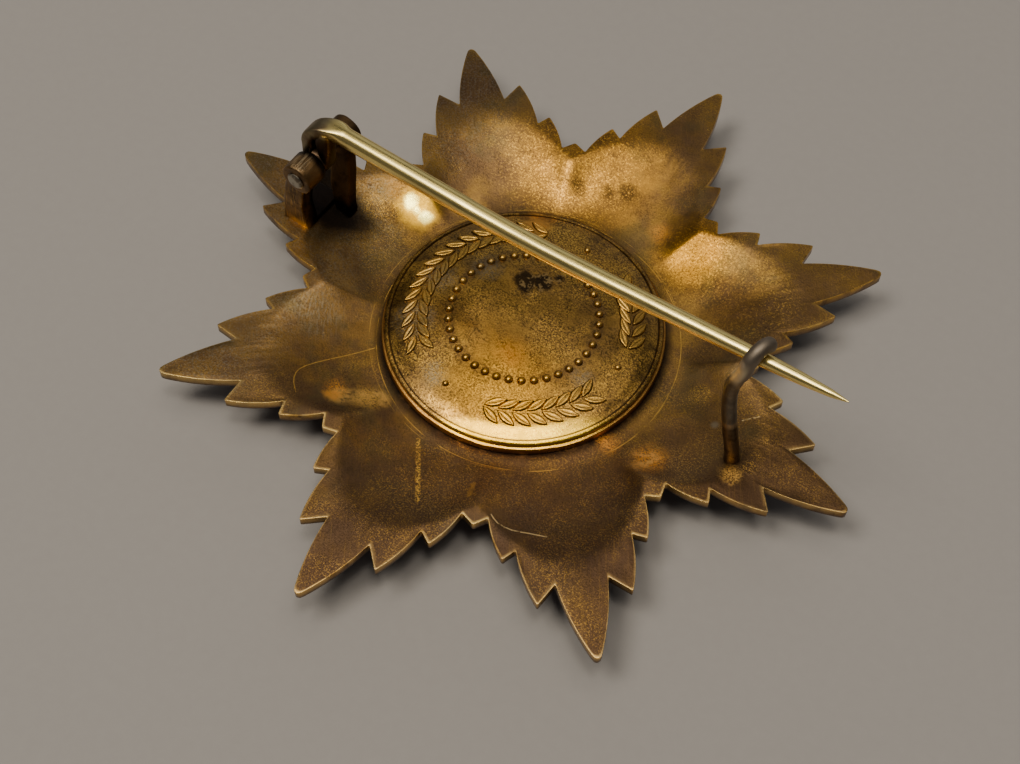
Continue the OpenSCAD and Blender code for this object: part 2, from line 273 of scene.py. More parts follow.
def draw_star_sheet():
    bm = bmesh.new()
    draw_half_arm(bm)
    bmesh.ops.mirror(bm, geom=bm.verts[:] + bm.edges[:], axis="Y", merge_dist=0.01)
    bmesh.ops.spin(
        bm, geom=bm.verts[:] + bm.edges[:], cent=(0, 0, 0), axis=UP,
        angle=tau * 7 / 8, steps=7, use_duplicate=True,
    )
    bmesh.ops.remove_doubles(bm, verts=bm.verts[:], dist=0.01)
    round_corners(bm)
    reach = bm.verts.layers.float.new("reach")
    for v in bm.verts:
        v[reach] = v.co.length
    edges = bm.edges[:]
    for share in ARM_RINGS:
        edges = add_ring(bm, edges, reach, DISH_VALLEY_R, share)
    radius = DISH_VALLEY_R
    while radius > BOSS_R + 0.1:
        radius -= RING_STEP
        edges = add_ring(bm, edges, reach, radius, 0)
    bmesh.ops.contextual_create(bm, geom=edges)
    made = bmesh.ops.extrude_face_region(bm, geom=bm.faces[:])
    for v in new_parts(made, bmesh.types.BMVert):
        r = hypot(v.co.x, v.co.y)
        ray = abs(cos(RAY_COUNT / 2 * atan2(v.co.y, v.co.x)))
        fade = smooth_step((r - BOSS_R - 1) / 5) * smooth_step((v[reach] - r) / 4)
        v.co.z = -SHEET - RAY_RIDGE * fade * ray
    for v in bm.verts:
        place = Vector((v.co.x, v.co.y, 0))
        wobble = sum(height * noise.noise(place * scale) for height, scale in WAVES)
        between = smooth_step((v[reach] - place.length) / 1.5)
        between *= smooth_step((place.length - DISH_FLOOR_R) / 1.5)
        v.co.z += dish_height(v.co.x, v.co.y) + wobble * between
    return bm


def mark_rim(bm):
    """Marks the edge's upright wall, and the bright line along the top of it."""
    reach = bm.verts.layers.float["reach"]
    rim = bm.verts.layers.float.new("rim")
    wall = bm.verts.layers.float.new("wall")
    for v in bm.verts:
        depth = v[reach] - v.co.to_2d().length
        below = dish_height(v.co.x, v.co.y) - v.co.z
        v[wall] = smooth_step((below - 0.13) / 0.1)
        v[rim] = (1 - smooth_step((depth - 0.05) / 0.25)) * (1 - v[wall])


def add_boss(bm):
    """The plain round boss that the hidden front rests on."""
    top = FLOOR_Z - SHEET / 2
    spin_round(bm, [
        (0, 0, top), (BOSS_R, 0, top), (BOSS_R, 0, BOSS_CHAMFER),
        (BOSS_R - BOSS_CHAMFER, 0, 0), (0, 0, 0),
    ], 96)


def build_star(material):
    bm = draw_star_sheet()
    face_outwards(bm)
    rim = [
        e for e in bm.edges
        if len(e.link_faces) == 2 and e.calc_face_angle(0) > radians(60)
        and e.verts[0].co.to_2d().length > DISH_VALLEY_R
    ]
    round_off(bm, rim, RIM_ROUND)
    mark_rim(bm)
    add_boss(bm)
    bmesh.ops.remove_doubles(bm, verts=bm.verts[:], dist=0.0005)
    face_outwards(bm)
    finish_piece("star_sheet", bm, material, "star_body")


# Back plate: a low dome with a groove and a rounded band along its edge, on a
# base flange, soldered a little off the star's middle
PLATE_X = -0.45
PLATE_R = 13.55
FACE_EDGE_H = 1.6
DOME_H = 1.45
FLANGE_R = 14.45
FLANGE_H = 0.82
SEAT = 0.04
FOOT_Z = FLOOR_Z + SEAT
BORDER_R = 12.0
BORDER_FALL = 0.16
DOME_RINGS = 36
# The face's outermost ring stands back and down by this, and its waves are this high
FACE_LIP = (0.02, 0.012)
FACE_WAVES = 0.02
# The flange's edge, as radius and height above the foot, then the rounded band above
# it and the groove beside the face, as radius past the plate's and height above the
# flange and the face's edge
FLANGE_RIM = [
    (FLANGE_R - 0.15, 0.0), (FLANGE_R, 0.13), (FLANGE_R, FLANGE_H - 0.12),
    (FLANGE_R - 0.03, FLANGE_H - 0.04), (FLANGE_R - 0.1, FLANGE_H),
]
BAND = [
    (0.62, 0.01), (0.57, 0.05), (0.62, 0.16), (0.68, 0.28), (0.69, 0.40), (0.65, 0.50),
    (0.57, 0.57), (0.47, 0.625), (0.36, 0.67), (0.26, 0.69),
]
GROOVE = [(0.19, -0.15), (0.12, -0.22), (0.06, -0.2), (0.02, -0.18)]


def face_height(r):
    fall = BORDER_FALL * smooth_step((r - BORDER_R) / (PLATE_R - BORDER_R)) ** 2
    return FOOT_Z + FACE_EDGE_H + DOME_H * (1 - (r / PLATE_R) ** 2) - fall


def build_plate(material):
    rim = FLANGE_RIM + [(PLATE_R + r, FLANGE_H + h) for r, h in BAND]
    rim += [(PLATE_R + r, FACE_EDGE_H + h) for r, h in GROOVE]
    profile = [(0, 0, FOOT_Z)] + [(r, 0, FOOT_Z + h) for r, h in rim]
    for i in range(DOME_RINGS + 1):
        r = PLATE_R * (1 - i / DOME_RINGS)
        back, down = (0, 0) if i else FACE_LIP
        profile.append((r - back, 0, face_height(r) - down))
    bm = bmesh.new()
    turned(bm, profile, 180)
    for v in bm.verts:
        if v.co.z > FOOT_Z + FLANGE_H:
            v.co.z += FACE_WAVES * noise.noise(Vector((v.co.x, v.co.y, 3)) * 0.3)
    bmesh.ops.translate(bm, vec=(PLATE_X, 0, 0), verts=bm.verts[:])
    finish_piece("back_plate_face", bm, material, "back_plate", crease=40)


BEAD_RING_R = 7.6
BEAD_COUNT = 38
BEAD_D = 0.84
BEAD_SUNK = 0.05


def add_bead(bm, low, angle, ring_r, diameter):
    made = bmesh.ops.create_uvsphere(bm, u_segments=18, v_segments=12, radius=diameter / 2)
    for v in made["verts"]:
        v[low] = 1 - smooth_step((v.co.z - 0.04) / (0.16 * diameter))
    place = polar(ring_r, angle, face_height(ring_r) - BEAD_SUNK)
    bmesh.ops.translate(bm, vec=place + Vector((PLATE_X, 0, 0)), verts=made["verts"])


def mark_raised(bm):
    """Marks the whole piece as standing on the plate's face."""
    raised = bm.verts.layers.float.new("raised")
    for v in bm.verts:
        v[raised] = 1


def build_bead_ring(material):
    bm = bmesh.new()
    low = bm.verts.layers.float.new("low")
    for i in range(BEAD_COUNT):
        add_bead(bm, low, 360 * i / BEAD_COUNT, BEAD_RING_R, BEAD_D)
    mark_raised(bm)
    finish_piece("bead_ring", bm, material, "back_plate", crease=35)


# Band of leaves: the middle of each run and its half width in degrees, with a
# small dot between neighbours
LEAF_RING_R = 10.9
LEAF_RUNS = [(-43, 33), (42, 25), (173, 61)]
LEAF_DOTS = [4, 88, 260]
LEAF_STEP = 7.6
LEAF_L = 2.3
LEAF_W = 0.9
LEAF_SLANT = 32
STALK_SIDE = 0.12
DOT_D = 0.7
# A leaf's levels from its root in the plate to the vein: shares of its length and
# width, and the height
LEAF_LEVELS = [
    (1.05, 1.10, -0.14),
    (1.05, 1.10, 0.01),
    (0.99, 0.98, 0.06),
    (0.95, 0.88, 0.15),
    (0.86, 0.62, 0.18),
    (0.80, 0.16, 0.165),
    (0.78, 0.05, 0.13),
]


def add_leaf(bm, low, place):
    """A pointed leaf with a sunk vein, lying along +X from its stalk."""
    before = set(bm.verts)
    stations = []
    for length, width, height in LEAF_LEVELS:
        matrix = place @ Matrix.Translation((LEAF_L / 2, 0, height))
        matrix = matrix @ Matrix.Diagonal((LEAF_L / 2 * length, LEAF_W / 2 * width, 1, 1))
        stations.append((matrix, 1, 2))
    sweep(bm, stations, 16)
    back = place.inverted()
    for v in set(bm.verts) - before:
        v[low] = 1 - smooth_step(((back @ v.co).z - 0.03) / 0.1)


def turn(degrees):
    return Matrix.Rotation(radians(degrees), 4, "Z")


def build_leaf_band(material):
    bm = bmesh.new()
    low = bm.verts.layers.float.new("low")
    tilt = atan(2 * DOME_H * LEAF_RING_R / PLATE_R ** 2)
    band = Matrix.Translation((LEAF_RING_R, 0, face_height(LEAF_RING_R)))
    band = band @ Matrix.Rotation(tilt, 4, "Y") @ turn(90)
    middle = Matrix.Translation((PLATE_X, 0, 0))
    for run_middle, half in LEAF_RUNS:
        angle = run_middle - half
        while angle <= run_middle + half - LEAF_STEP + 0.01:
            for side in (-1, 1):
                stalk = Matrix.Translation((0, side * STALK_SIDE, 0)) @ turn(side * LEAF_SLANT)
                add_leaf(bm, low, middle @ turn(angle) @ band @ stalk)
            angle += LEAF_STEP
    for angle in LEAF_DOTS:
        add_bead(bm, low, angle, LEAF_RING_R, DOT_D)
    mark_raised(bm)
    face_outwards(bm)
    finish_piece("leaf_band", bm, material, "back_plate", crease=60)


# Catch: its route from inside the sheet to the free end, with heights above the
# star's edge plane
CATCH_ROUTE = [
    (25.0, -1.3, -0.7), (24.7, -1.3, 1.5), (24.0, -1.3, 5.0), (23.5, -1.35, 8.5),
    (23.4, -1.4, 11.3), (23.8, -1.5, 13.3), (24.3, -1.6, 15.0), (24.5, -1.42, 16.5),
    (24.7, -0.8, 17.3), (24.9, 0, 17.55), (25.1, 0.7, 17.28), (25.22, 1.25, 16.9),
]
WIRE_R = 0.75
WIRE_DENTS = 0.035
FOOT_SWELL = 0.06
TIP_L = 0.6


def build_catch(material):
    bm = bmesh.new()
    line = smooth_route([Vector(p) + UP * EDGE_Z for p in CATCH_ROUTE], 8)
    last = len(line) - 1
    stations = []
    for i, place in enumerate(line):
        along = line[min(last, i + 1)] - line[max(0, i - 1)]
        back = (line[last] - place).length
        tip = sqrt(max(0.0, 1 - (1 - min(1.0, back / TIP_L)) ** 2))
        dent = 1 + WIRE_DENTS * noise.noise(place * 0.8)
        foot = FOOT_SWELL * (1 - smooth_step((place.z - EDGE_Z + 0.3) / 0.7))
        r = (WIRE_R * dent + foot) * max(0.12, tip) - 0.02
        stations.append(station(place, along, ALONG, r, r))
    sweep(bm, stations, 28)
    face_outwards(bm)
    finish_piece("catch_hook", bm, material, "star_body", crease=35)


# Pin
LIFT = radians(6.5)
LIFT_START_X = -7.0
LIFT_END_X = 6.0
LIFT_R = (LIFT_END_X - LIFT_START_X) / sin(LIFT)
LIFT_RISE = LIFT_R * (1 - cos(LIFT))
# Radius along the pin: place along X and radius there
PIN_RADII = [
    (-22.8, 1.0), (-8.0, 1.0), (-7.0, 0.96), (6.0, 0.95), (26.0, 0.69),
    (29.0, 0.58), (32.0, 0.37), (33.2, 0.16), (33.7, 0.05),
]
PIN_R = PIN_RADII[0][1]
PIN_END_X = PIN_RADII[-1][0]
ROOT_W = 2.2
ROOT_T = 1.3
ROOT_Y = -0.9
ROOT_LIFT = 0.33
ROOT_BEND_R = 1.9
KNUCKLE_R = 1.5
KNUCKLE_BORE = 0.7
# Where the strap starts on the rivet, and how far it is rolled round it
WRAP_START = 98
WRAP_TURN = 278
# The rolled end's wedge under the bend, from its top down: X, Y, height and half
# thickness
ROLL_END = [
    (-24.3, -0.55, 18.75, 0.9), (-24.3, -0.7, 17.4, 0.95), (-24.15, -0.85, 16.4, 0.8),
    (-24.0, ROOT_Y, 15.4, 0.58), (-23.95, ROOT_Y, 14.5, 0.4),
]
# Where along X the pin's flattened root turns round, and where it comes into line
NECK = (-23.9, -21.9)
SHIFT = (-26.2, -22.6)


def pin_height(x):
    if x < LIFT_START_X:
        return PIN_Z
    if x < LIFT_END_X:
        return PIN_Z + LIFT_R - sqrt(LIFT_R ** 2 - (x - LIFT_START_X) ** 2)
    return PIN_Z + LIFT_RISE + (x - LIFT_END_X) * tan(LIFT)


def pin_radius(x):
    for (x0, r0), (x1, r1) in zip(PIN_RADII, PIN_RADII[1:]):
        if x <= x1:
            return r0 + (r1 - r0) * max(0.0, x - x0) / (x1 - x0)
    return PIN_RADII[-1][1]


def root_side(x):
    return ROOT_Y * (1 - smooth_step((x - SHIFT[0]) / (SHIFT[1] - SHIFT[0])))


def in_plane(degrees):
    """A direction in the plane of X and height, and the one a quarter turn before it."""
    a = radians(degrees)
    return Vector((cos(a), 0, sin(a))), Vector((sin(a), 0, -cos(a)))


def root_stations():
    """Sections of the strap, from the end of the rolled knuckle to past the bend."""
    wrap_r = (KNUCKLE_R + KNUCKLE_BORE) / 2
    wrap_t = (KNUCKLE_R - KNUCKLE_BORE) / 2 - 0.01
    leg_left = RIVET_AT.x - KNUCKLE_R
    bend = Vector((leg_left + ROOT_BEND_R + ROOT_T / 2, 0, PIN_Z + ROOT_LIFT - ROOT_BEND_R))
    rows = []
    for i in range(29):
        out, along = in_plane(WRAP_START - WRAP_TURN * i / 28)
        place = RIVET_AT + out * wrap_r
        place.y = ROOT_Y
        rows.append((place, along, wrap_t, 4))
    for i in range(1, 6):
        t = i / 6
        thick = wrap_t + (ROOT_T / 2 - wrap_t) * smooth_step(t)
        z = RIVET_AT.z + (bend.z - RIVET_AT.z) * t
        rows.append((Vector((leg_left + thick, ROOT_Y, z)), UP, thick, 4))
    for i in range(13):
        out, along = in_plane(180 - 90 * i / 12)
        place = bend + out * ROOT_BEND_R
        place.y = root_side(place.x)
        rows.append((place, along, ROOT_T / 2, 5))
    return bend.x, [
        station(place, along, ACROSS, ROOT_W / 2, thick, square)
        for place, along, thick, square in rows
    ]


def pin_stations():
    """Sections from the end of the rolled knuckle to the point."""
    bend_x, stations = root_stations()
    for i in range(1, 19):
        x = bend_x + (NECK[1] - bend_x) * i / 18
        rounded = smooth_step((x - NECK[0]) / (NECK[1] - NECK[0]))
        place = Vector((x, root_side(x), PIN_Z + ROOT_LIFT * (1 - rounded)))
        half_w = ROOT_W / 2 + (PIN_R - ROOT_W / 2) * rounded
        half_t = ROOT_T / 2 + (PIN_R - ROOT_T / 2) * rounded
        stations.append(station(place, ALONG, ACROSS, half_w, half_t, 2 + 3 * (1 - rounded)))
    x = NECK[1]
    while x < PIN_END_X - 0.01:
        x = min(PIN_END_X, x + (0.5 if x < 31 else 0.2))
        slope = pin_height(x + 0.01) - pin_height(x - 0.01)
        r = pin_radius(x)
        place = Vector((x, 0, pin_height(x)))
        stations.append(station(place, Vector((0.02, 0, slope)), ACROSS, r, r))
    return stations


def build_pin(material):
    bm = bmesh.new()
    sweep(bm, pin_stations(), 40)
    sweep(bm, [
        station(Vector((x, y, z)), -UP, ACROSS, ROOT_W / 2 - 0.15, thick, 3)
        for x, y, z, thick in ROLL_END
    ], 40)
    face_outwards(bm)
    finish_piece("pin_wire", bm, material, "pin_needle", "pin", crease=45)


# Hinge ears: inner and outer face of the head and outer face of the shank along Y,
# the middle and width of the foot and the middle of the waist along X, and the lean
# of the foot along Y
Ear = namedtuple("Ear", "inner head shank foot_x foot_w waist_x lean")
LEFT_EAR = Ear(-2.2, -4.8, -4.1, foot_x=-26.7, foot_w=3.3, waist_x=-26.8, lean=0.0)
RIGHT_EAR = Ear(1.3, 3.7, 2.8, foot_x=-23.95, foot_w=2.2, waist_x=-24.4, lean=-1.2)
EAR_HEAD_R = 1.75
EAR_WAIST = 2.5
EAR_WAIST_H = 3.0
EAR_HEAD_ROUND = 0.22
EAR_LEG_ROUND = 0.25
EAR_LEG_INSET = 0.03
EAR_DENTS = 0.05
EAR_SEED = 7
FOOT_DEPTH = 0.8
FOOT_PLATE_H = 0.15
FOOT_W = 3.0
FOOT_ROUND = 0.2
RIVET_R = 0.65
# Half of the rivet from a head's middle to its shank: radius and height past the
# ear's face
RIVET_HEAD = [
    (0.0, 0.29), (0.6, 0.28), (0.86, 0.22), (0.97, 0.10), (0.97, 0.04), (RIVET_R, 0.04),
]


def add_slab(bm, outline, y_low, y_high):
    """A flat piece cut to an outline in X and Z, between two places along Y."""
    verts = [bm.verts.new((x, y_low, z)) for x, z in outline]
    face = bm.faces.new(verts)
    made = bmesh.ops.extrude_face_region(bm, geom=[face])
    top = new_parts(made, bmesh.types.BMVert)
    bmesh.ops.translate(bm, vec=(0, y_high - y_low, 0), verts=top)
    return [v for v in verts if v.is_valid] + top


def soften(bm, verts, offset):
    chosen = set(verts)
    round_off(bm, [
        e for e in bm.edges
        if not chosen.isdisjoint(e.verts) and e.calc_face_angle(0) > radians(40)
    ], offset)


def leg_outline(ear):
    joint_x = (ear.waist_x + RIVET_AT.x) / 2
    rows = [
        (ear.foot_x, ear.foot_w / 2, EDGE_Z - FOOT_DEPTH),
        (ear.foot_x, ear.foot_w / 2 - 0.1, EDGE_Z + 0.4),
        (ear.waist_x, EAR_WAIST / 2, EDGE_Z + EAR_WAIST_H),
        (joint_x, EAR_WAIST / 2 - 0.1, RIVET_AT.z - 0.9),
    ]
    left = [(x - half, z) for x, half, z in rows]
    right = [(x + half, z) for x, half, z in rows]
    return left[:1] + right + left[:0:-1]


def build_ear(number, ear, material):
    bm = bmesh.new()
    disc = []
    for i in range(40):
        a = tau * i / 40
        disc.append((RIVET_AT.x + EAR_HEAD_R * cos(a), RIVET_AT.z + EAR_HEAD_R * sin(a)))
    head = add_slab(bm, disc, *sorted((ear.inner, ear.head)))
    face_outwards(bm)
    soften(bm, head, EAR_HEAD_ROUND)
    head = set(bm.verts)
    low, high = sorted((ear.inner, ear.shank))
    leg = add_slab(bm, leg_outline(ear), low + EAR_LEG_INSET, high - EAR_LEG_INSET)
    face_outwards(bm, [f for f in bm.faces if head.isdisjoint(f.verts)])
    soften(bm, leg, EAR_LEG_ROUND)
    bmesh.ops.subdivide_edges(
        bm, edges=[e for e in bm.edges if e.calc_length() > 0.8], cuts=3,
        use_grid_fill=True,
    )
    head_low = RIVET_AT.z - EAR_HEAD_R
    noise.seed_set(EAR_SEED)
    for v in bm.verts:
        v.co.y += ear.lean * smooth_step((head_low - v.co.z) / (head_low - EDGE_Z))
        v.co += EAR_DENTS * noise.noise_vector(v.co * 0.9)
    finish_piece(f"hinge_ear_{number}", bm, material, "star_body")


def build_foot(material):
    """The foot plate between the ears."""
    bm = bmesh.new()
    left = LEFT_EAR.foot_x - FOOT_W / 2
    base = EDGE_Z - FOOT_DEPTH
    top = EDGE_Z + FOOT_PLATE_H
    outline = [(left, base), (left + FOOT_W, base), (left + FOOT_W, top), (left, top)]
    verts = add_slab(bm, outline, LEFT_EAR.shank + 0.1, RIGHT_EAR.shank - 1.3)
    face_outwards(bm)
    soften(bm, verts, FOOT_ROUND)
    finish_piece("hinge_foot", bm, material, "star_body")


def build_rivet(material):
    places = [(RIVET_AT.x + r, LEFT_EAR.head - h, RIVET_AT.z) for r, h in RIVET_HEAD]
    places += [(RIVET_AT.x + r, RIGHT_EAR.head + h, RIVET_AT.z) for r, h in RIVET_HEAD[::-1]]
    bm = bmesh.new()
    turned(bm, places, 40, ACROSS, RIVET_AT)
    finish_piece("rivet", bm, material, "hinge_rivet", crease=35)


# Materials


FLAT = (1.0, 1.0, 0.0)


class Nodes:
    """Short calls for the nodes and links of one tree."""

    def __init__(self, tree):
        self.tree = tree

    def feed(self, socket, value):
        if isinstance(value, bpy.types.NodeSocket):
            self.tree.links.new(value, socket)
        else:
            socket.default_value = value

    def node(self, kind, inputs=None, **settings):
        made = self.tree.nodes.new(kind)
        for key, value in settings.items():
            setattr(made, key, value)
        for key, value in (inputs or {}).items():
            self.feed(made.inputs[key], value)
        return made

    def maths(self, operation, a, b=0.5):
        return self.node("ShaderNodeMath", {0: a, 1: b}, operation=operation).outputs[0]

    def both(self, *masks):
        """Where all the masks meet."""
        return reduce(lambda a, b: self.maths("MULTIPLY", a, b), masks)

    def either(self, *masks):
        """Where any of the masks is."""
        return reduce(lambda a, b: self.maths("MAXIMUM", a, b), masks)

    def outside(self, mask):
        return self.maths("SUBTRACT", 1.0, mask)

    def total(self, value, *shares):
        """A value, and a share of each mask added to it."""
        for mask, share in shares:
            value = self.maths("ADD", value, self.maths("MULTIPLY", mask, share))
        return value

    def vectors(self, operation, a, b=None):
        inputs = {0: a} if b is None else {0: a, 1: b}
        made = self.node("ShaderNodeVectorMath", inputs, operation=operation)
        return made.outputs["Value" if operation in ("LENGTH", "DOT_PRODUCT") else "Vector"]

    def reach(self, start, end):
        """From one place to another, seen from above."""
        return self.vectors("MULTIPLY", self.vectors("SUBTRACT", end, start), FLAT)

    def spread(self, value, start, end, to_start=0.0, to_end=1.0):
        """Goes smoothly from one value to another between start and end."""
        made = self.node("ShaderNodeMapRange", {
            "Value": value, "From Min": start, "From Max": end,
            "To Min": to_start, "To Max": to_end,
        }, interpolation_type="SMOOTHSTEP")
        return made.outputs[0]

    def noise(self, vector, scale, detail=4.0, roughness=0.6):
        made = self.node("ShaderNodeTexNoise", {
            "Vector": vector, "Scale": scale, "Detail": detail, "Roughness": roughness,
        })
        return made.outputs["Fac"]

    def use(self, group, *values):
        """A shared group, given the values of its inputs in their order."""
        inputs = dict(enumerate(values))
        return self.node("ShaderNodeGroup", inputs, node_tree=group).outputs["Mask"]


def shared_group(vectors, floats):
    """Turns a function that draws a mask into a shared group of the function's name,
    with these names for its inputs."""
    def make(draw):
        tree = bpy.data.node_groups.new(draw.__name__, "ShaderNodeTree")
        for names, kind in ((vectors, "NodeSocketVector"), (floats, "NodeSocketFloat")):
            for socket in names.split():
                tree.interface.new_socket(socket, in_out="INPUT", socket_type=kind)
        tree.interface.new_socket("Mask", in_out="OUTPUT", socket_type="NodeSocketFloat")
        start = tree.nodes.new("NodeGroupInput").outputs
        end = tree.nodes.new("NodeGroupOutput").inputs
        n = Nodes(tree)
        n.feed(end["Mask"], draw(n, *(start[s] for s in (vectors + " " + floats).split())))
        return tree
    return make


@shared_group("Vector", "Scale Detail From To")
def tarnish_patches(n, place, scale, detail, start, end):
    """Soft patches with ragged edges, as tarnish grows."""
    return n.spread(n.noise(place, scale, detail, 0.62), start, end)


@shared_group("Vector", "Scale From To")
def fine_specks(n, place, scale, start, end):
    """Specks of a tenth or two of a millimetre."""
    return n.spread(n.noise(place, scale, 3, 0.72), start, end)


@shared_group("Vector", "Along Across From To")
def brushed_lines(n, place, along, across, start, end):
    """Fine lines along X, as rubbing and filing leave them."""
    scale = n.node("ShaderNodeCombineXYZ", {"X": along, "Y": across, "Z": across})
    drawn = n.vectors("MULTIPLY", place, scale.outputs[0])
    return n.spread(n.noise(drawn, 1), start, end)


@shared_group("Vector Centre", "Radius Soft Ragged")
def ragged_spot(n, place, centre, radius, soft, ragged):
    """A round spot with a ragged edge."""
    away = n.vectors("LENGTH", n.vectors("SUBTRACT", place, centre))
    away = n.total(away, (n.maths("SUBTRACT", n.noise(place, 700, 5), 0.5), ragged))
    return n.outside(n.spread(away, n.maths("SUBTRACT", radius, soft), radius))


@shared_group("Vector Start End", "Width")
def worn_scratch(n, place, start, end, width):
    """A straight scratch from one place to another, seen from above."""
    along = n.reach(start, end)
    reach = n.reach(start, place)
    share = n.maths(
        "DIVIDE", n.vectors("DOT_PRODUCT", reach, along), n.vectors("DOT_PRODUCT", along, along)
    )
    share = n.maths("MINIMUM", n.maths("MAXIMUM", share, 0.0), 1.0)
    scaled = n.node("ShaderNodeVectorMath", {0: along, "Scale": share}, operation="SCALE")
    away = n.vectors("LENGTH", n.vectors("SUBTRACT", reach, scaled.outputs["Vector"]))
    core = n.maths("MULTIPLY", width, 0.35)
    worn = n.spread(n.noise(place, 1600, 3), 0.3, 0.5)
    return n.both(n.outside(n.spread(away, core, width)), worn)


@shared_group("Vector Centre", "Radius Width")
def scribed_circle(n, place, centre, radius, width):
    """A thin scribed circle, worn away here and there, seen from above."""
    out = n.vectors("LENGTH", n.reach(centre, place))
    away = n.maths("ABSOLUTE", n.maths("SUBTRACT", out, radius))
    worn = n.spread(n.noise(place, 260, 5), 0.42, 0.56)
    return n.both(n.outside(n.spread(away, 0.0, width)), worn)


# Colours of the metals, their tarnish and dirt
OLD_GOLD = (0.290, 0.162, 0.048)
GOLD = (0.560, 0.310, 0.062)
BRIGHT_GOLD = (0.920, 0.530, 0.100)
ORANGE_GOLD = (0.82, 0.36, 0.055)
AMBER_GOLD = (1.0, 0.46, 0.08)
SPARK_GOLD = (1.0, 0.58, 0.14)
RUBBED = (0.95, 0.70, 0.32)
BROWN = (0.135, 0.078, 0.042)
DULL_BROWN = (0.105, 0.066, 0.046)
PURPLE_BROWN = (0.125, 0.070, 0.046)
OLIVE = (0.150, 0.112, 0.050)
UMBER = (0.050, 0.030, 0.016)
SOOT = (0.012, 0.009, 0.008)
PALE_GREY = (0.34, 0.30, 0.21)


def metres(x, y, z=0.0):
    return (x * MM, y * MM, z * MM)


class Finish(Nodes):
    """A metal's material, its colour built up in layers. Places and widths are in
    millimetres, and a pattern's scale is a number per metre."""

    def __init__(self, name, colour):
        self.material = bpy.data.materials.new(name)
        self.material.use_nodes = True
        super().__init__(self.material.node_tree)
        self.tree.nodes.clear()
        self.shader = self.node("ShaderNodeBsdfPrincipled")
        out = self.node("ShaderNodeOutputMaterial")
        self.tree.links.new(self.shader.outputs["BSDF"], out.inputs["Surface"])
        self.place = self.node("ShaderNodeTexCoord").outputs["Object"]
        axes = self.node("ShaderNodeSeparateXYZ", {"Vector": self.place}).outputs
        self.x, self.y, self.z = axes["X"], axes["Y"], axes["Z"]
        self.flat = self.vectors("MULTIPLY", self.place, FLAT)
        self.colour = (*colour, 1)

    def blend(self, kind, colour, mask):
        made = self.node(
            "ShaderNodeMix", {0: mask, 6: self.colour, 7: (*colour, 1)},
            data_type="RGBA", blend_type=kind,
        )
        self.colour = made.outputs[2]

    def layer(self, colour, strength, *masks):
        """Lays a colour over the others where all the masks meet."""
        self.blend("MIX", colour, self.both(*masks, strength))

    def tint(self, colour, *masks):
        """Multiplies the colours below by another where all the masks meet."""
        self.blend("MULTIPLY", colour, self.both(*masks))

    def ramp(self, value, start, end, to_start=0.0):
        """A mask that grows from one place to another along a direction."""
        return self.spread(value, start * MM, end * MM, to_start)

    def towards(self, direction, place=None):
        return self.vectors("DOT_PRODUCT", place or self.place, direction)

    def turned(self, degrees):
        if not degrees:
            return self.place
        made = self.node("ShaderNodeVectorRotate", {
            "Vector": self.place, "Angle": radians(degrees),
        }, rotation_type="Z_AXIS")
        return made.outputs[0]

    def patches(self, scale, low, high, detail=6.0, turn=0.0):
        return self.use(tarnish_patches, self.turned(turn), scale, detail, low, high)

    def speckle(self, scale, low, high):
        return self.use(fine_specks, self.place, scale, low, high)

    def brushed(self, along, across, low, high, turn=0.0):
        return self.use(brushed_lines, self.turned(turn), along, across, low, high)

    def spot(self, centre, radius, soft, ragged=0.0):
        """A round spot in space, or with a flat centre a mark seen from above."""
        place = self.place if len(centre) == 3 else self.flat
        return self.use(ragged_spot, place, metres(*centre), *metres(radius, soft, ragged))

    def scratch(self, start, end, width):
        return self.use(worn_scratch, self.place, metres(*start), metres(*end), width * MM)

    def circle(self, centre, radius, width, turn=0.0):
        place = self.turned(turn)
        return self.use(scribed_circle, place, metres(*centre), radius * MM, width * MM)

    def attribute(self, name):
        return self.node("ShaderNodeAttribute", attribute_name=name).outputs["Fac"]

    def done(self, roughness, metallic=1.0, height=None, strength=0.3, depth=0.1):
        self.feed(self.shader.inputs["Base Color"], self.colour)
        self.feed(self.shader.inputs["Roughness"], roughness)
        self.feed(self.shader.inputs["Metallic"], metallic)
        if height is not None:
            bump = self.node("ShaderNodeBump", {
                "Height": height, "Strength": strength, "Distance": depth * MM,
            })
            self.feed(self.shader.inputs["Normal"], bump.outputs["Normal"])
        return self.material


# The direction on the sheet in which the near arms lie
NEAR = (0.565, -0.825, 0.0)
# Marks on the star's back, in millimetres from its middle
BRIGHT_SCRATCH = [(9.8, -19.9), (10.8, -20.3), (12.3, -20.1), (13.8, -19.3), (15.3, -18.6)]
CURVED_SCRATCH = [
    (-11.5, -10.5), (-13.95, -14.4), (-15.2, -16.9), (-15.3, -18.2), (-14.7, -19.25),
    (-13.7, -20.1),
]
FLECK_LINE = [(-1.45, -16.55), (0.74, -19.4), (3.0, -22.4)]
# Bright places, partly rubbed gilt and partly painted highlight: centre, radius, soft edge, ragged
# edge, colour and strength
GLOWING = [
    ((25.8, -3.0), 1.5, 1.2, 1.4, SPARK_GOLD, 1.0),
    ((18.3, -5.5), 2.6, 2.0, 2.0, ORANGE_GOLD, 0.75),
    ((13.9, -6.0), 1.6, 1.4, 1.6, ORANGE_GOLD, 0.7),
    ((-11.2, -17.0), 1.8, 1.5, 1.4, ORANGE_GOLD, 0.8),
    ((-8.2, -15.8), 2.2, 1.8, 1.4, BRIGHT_GOLD, 0.6),
    ((9.1, 16.6), 3.4, 2.8, 2.0, BRIGHT_GOLD, 0.5),
    ((4.4, 18.2), 1.6, 1.4, 1.2, ORANGE_GOLD, 0.5),
]
# Small sparkling places: centre and radius
SPARKLING = [
    ((26.9, -1.4), 1.1), ((26.8, 0.2), 0.9), ((26.7, 1.9), 0.8), ((18.3, 3.9), 1.5),
    ((-22.0, 2.8), 1.8), ((-20.4, 3.6), 1.6),
]
